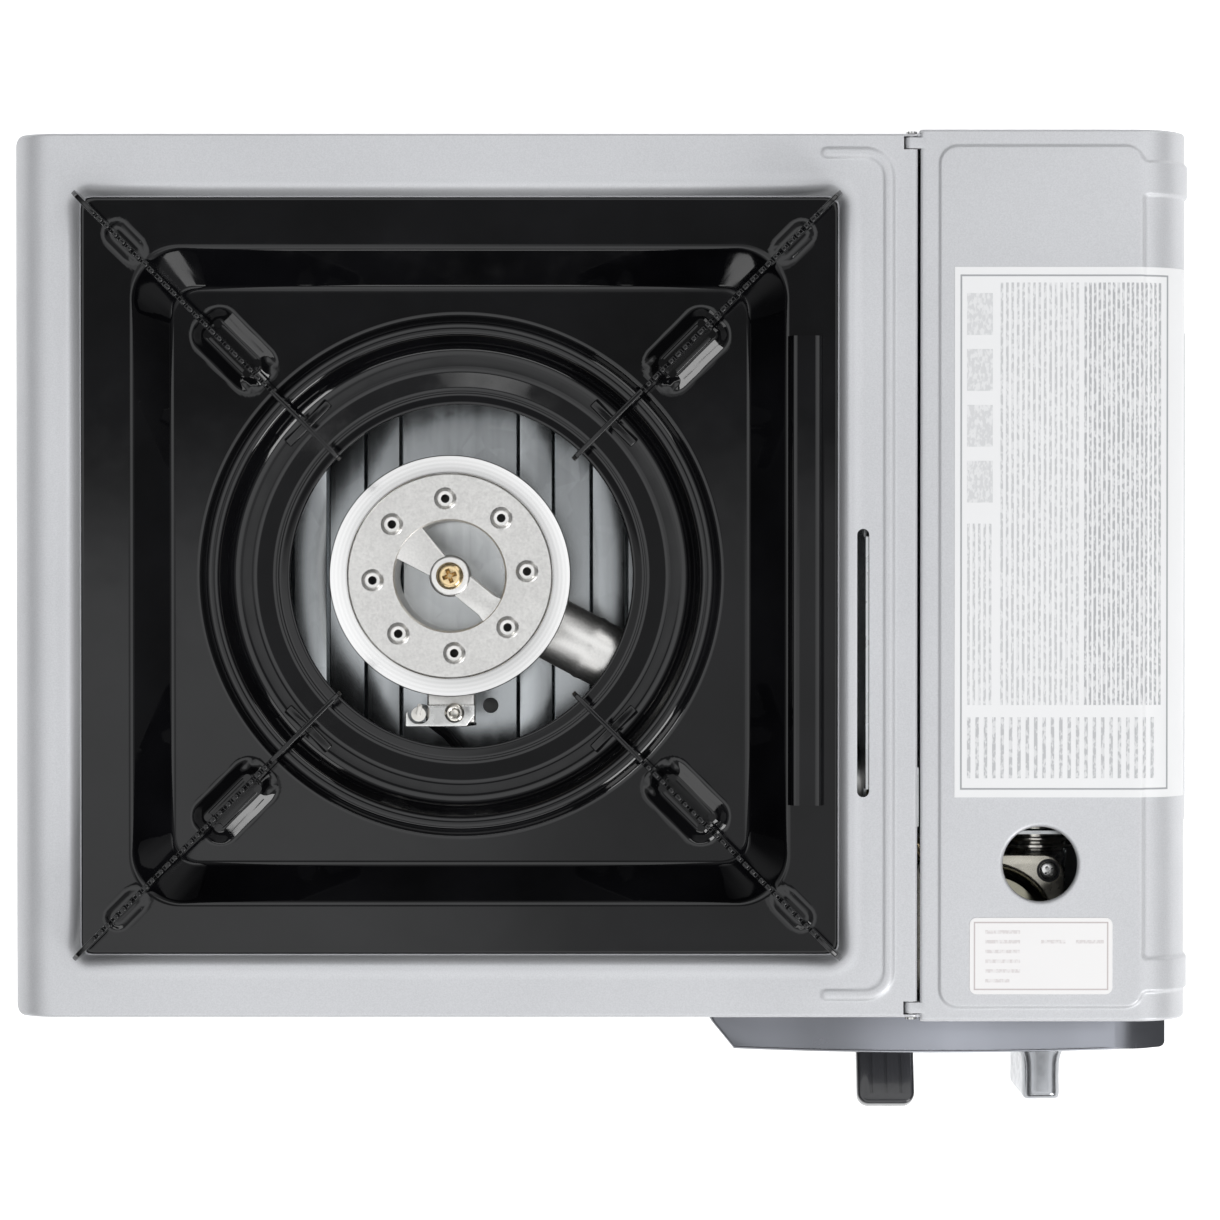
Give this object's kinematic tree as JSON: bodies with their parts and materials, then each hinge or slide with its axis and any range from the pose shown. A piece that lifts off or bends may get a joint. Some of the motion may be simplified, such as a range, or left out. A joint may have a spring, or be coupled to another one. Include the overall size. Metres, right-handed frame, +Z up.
{
  "type": "butane cassette stove",
  "caption": "Portable gas stove with a square drip pan, pan supports, an open ring burner, a hinged lid over the canister bay, a knob and a canister lever.",
  "frame": {"origin": "middle of the outline on the table surface, under the feet", "axes": "+X to the right, +Y to the back, +Z up; the knob and lever face -Y"},
  "size_m": [0.34, 0.286, 0.1],
  "materials": {
    "silver_paint": "satin metallic silver paint",
    "galvanised": "galvanised sheet",
    "black_enamel": "glossy black enamel",
    "cast_aluminium": "sand-blasted casting with a turned ring",
    "brass": "satin brass",
    "nickel": "nickel plated",
    "zinc_plated": "zinc plated steel",
    "black_plastic": "moulded, fine texture",
    "panel_plastic": "glossy dark grey",
    "white_plastic": "natural nylon",
    "ceramic": "glazed",
    "black_rubber": "matte",
    "label_film": "satin white film"
  },
  "bodies": {
    "root": {"base_tray": "galvanised", "feet": "black_rubber", "tray_screws": "zinc_plated", "body_shell": "silver_paint", "partition": "galvanised", "heat_shield": "galvanised", "burner_stand": "galvanised", "burner_casting": "cast_aluminium", "burner_cap": "cast_aluminium", "burner_screw": "brass", "electrode_bracket": "zinc_plated", "electrode_rivet": "zinc_plated", "electrode": "ceramic", "ignition_lead": "black_rubber", "piezo_igniter": "black_plastic", "gas_jet": "brass", "regulator_body": "nickel", "regulator_cover": "nickel", "regulator_screws": "nickel", "regulator_bracket": "galvanised", "canister_socket": "nickel", "canister_guide": "galvanised", "control_panel": "panel_plastic", "panel_screws": "zinc_plated", "pivot_stud": "zinc_plated", "carriage_studs": "zinc_plated", "hinge_pins": "zinc_plated"},
    "lid": {"lid": "silver_paint", "info_label": "label_film", "small_label": "label_film"},
    "pan": {"drip_pan": "black_enamel", "support_blade_1": "black_enamel", "support_blade_2": "black_enamel", "support_blade_3": "black_enamel", "support_blade_4": "black_enamel", "blade_rivets": "black_enamel"},
    "knob": {"knob": "black_plastic", "valve_stem": "zinc_plated", "igniter_cam": "white_plastic"},
    "lever": {"lever_handle": "black_plastic", "lever_arm": "zinc_plated", "drive_pin": "zinc_plated"},
    "carriage": {"canister_carriage": "galvanised", "canister_spring": "nickel"},
    "plunger": {"igniter_plunger": "white_plastic"}
  },
  "joints": [
    {"name": "lid_hinge", "type": "hinge", "parent": "root", "child": "lid", "pos_m": [0.0887, 0.015, 0.0818], "axis": [0, -1, 0], "range_deg": [0, 95]},
    {"name": "pan_lift", "type": "slide", "parent": "root", "child": "pan", "axis": [0, 0, 1], "range_m": [0, 0.08]},
    {"name": "knob_turn", "type": "hinge", "parent": "root", "child": "knob", "pos_m": [0.129, -0.11, 0.043], "axis": [0, -1, 0], "range_deg": [0, 100]},
    {"name": "lever_press", "type": "hinge", "parent": "root", "child": "lever", "pos_m": [0.08695, -0.095, 0.034], "axis": [1, 0, 0], "range_deg": [0, 25]},
    {"name": "carriage_slide", "type": "slide", "parent": "root", "child": "carriage", "axis": [0, -1, 0], "range_m": [0, 0.009]},
    {"name": "igniter_press", "type": "slide", "parent": "root", "child": "plunger", "axis": [0, 1, 0], "range_m": [0, 0.004], "stiffness_N_per_m": 600}
  ],
  "couplings": [
    {"joint": "carriage_slide", "follows": "lever_press", "m_per_rad": 0.0206}
  ]
}
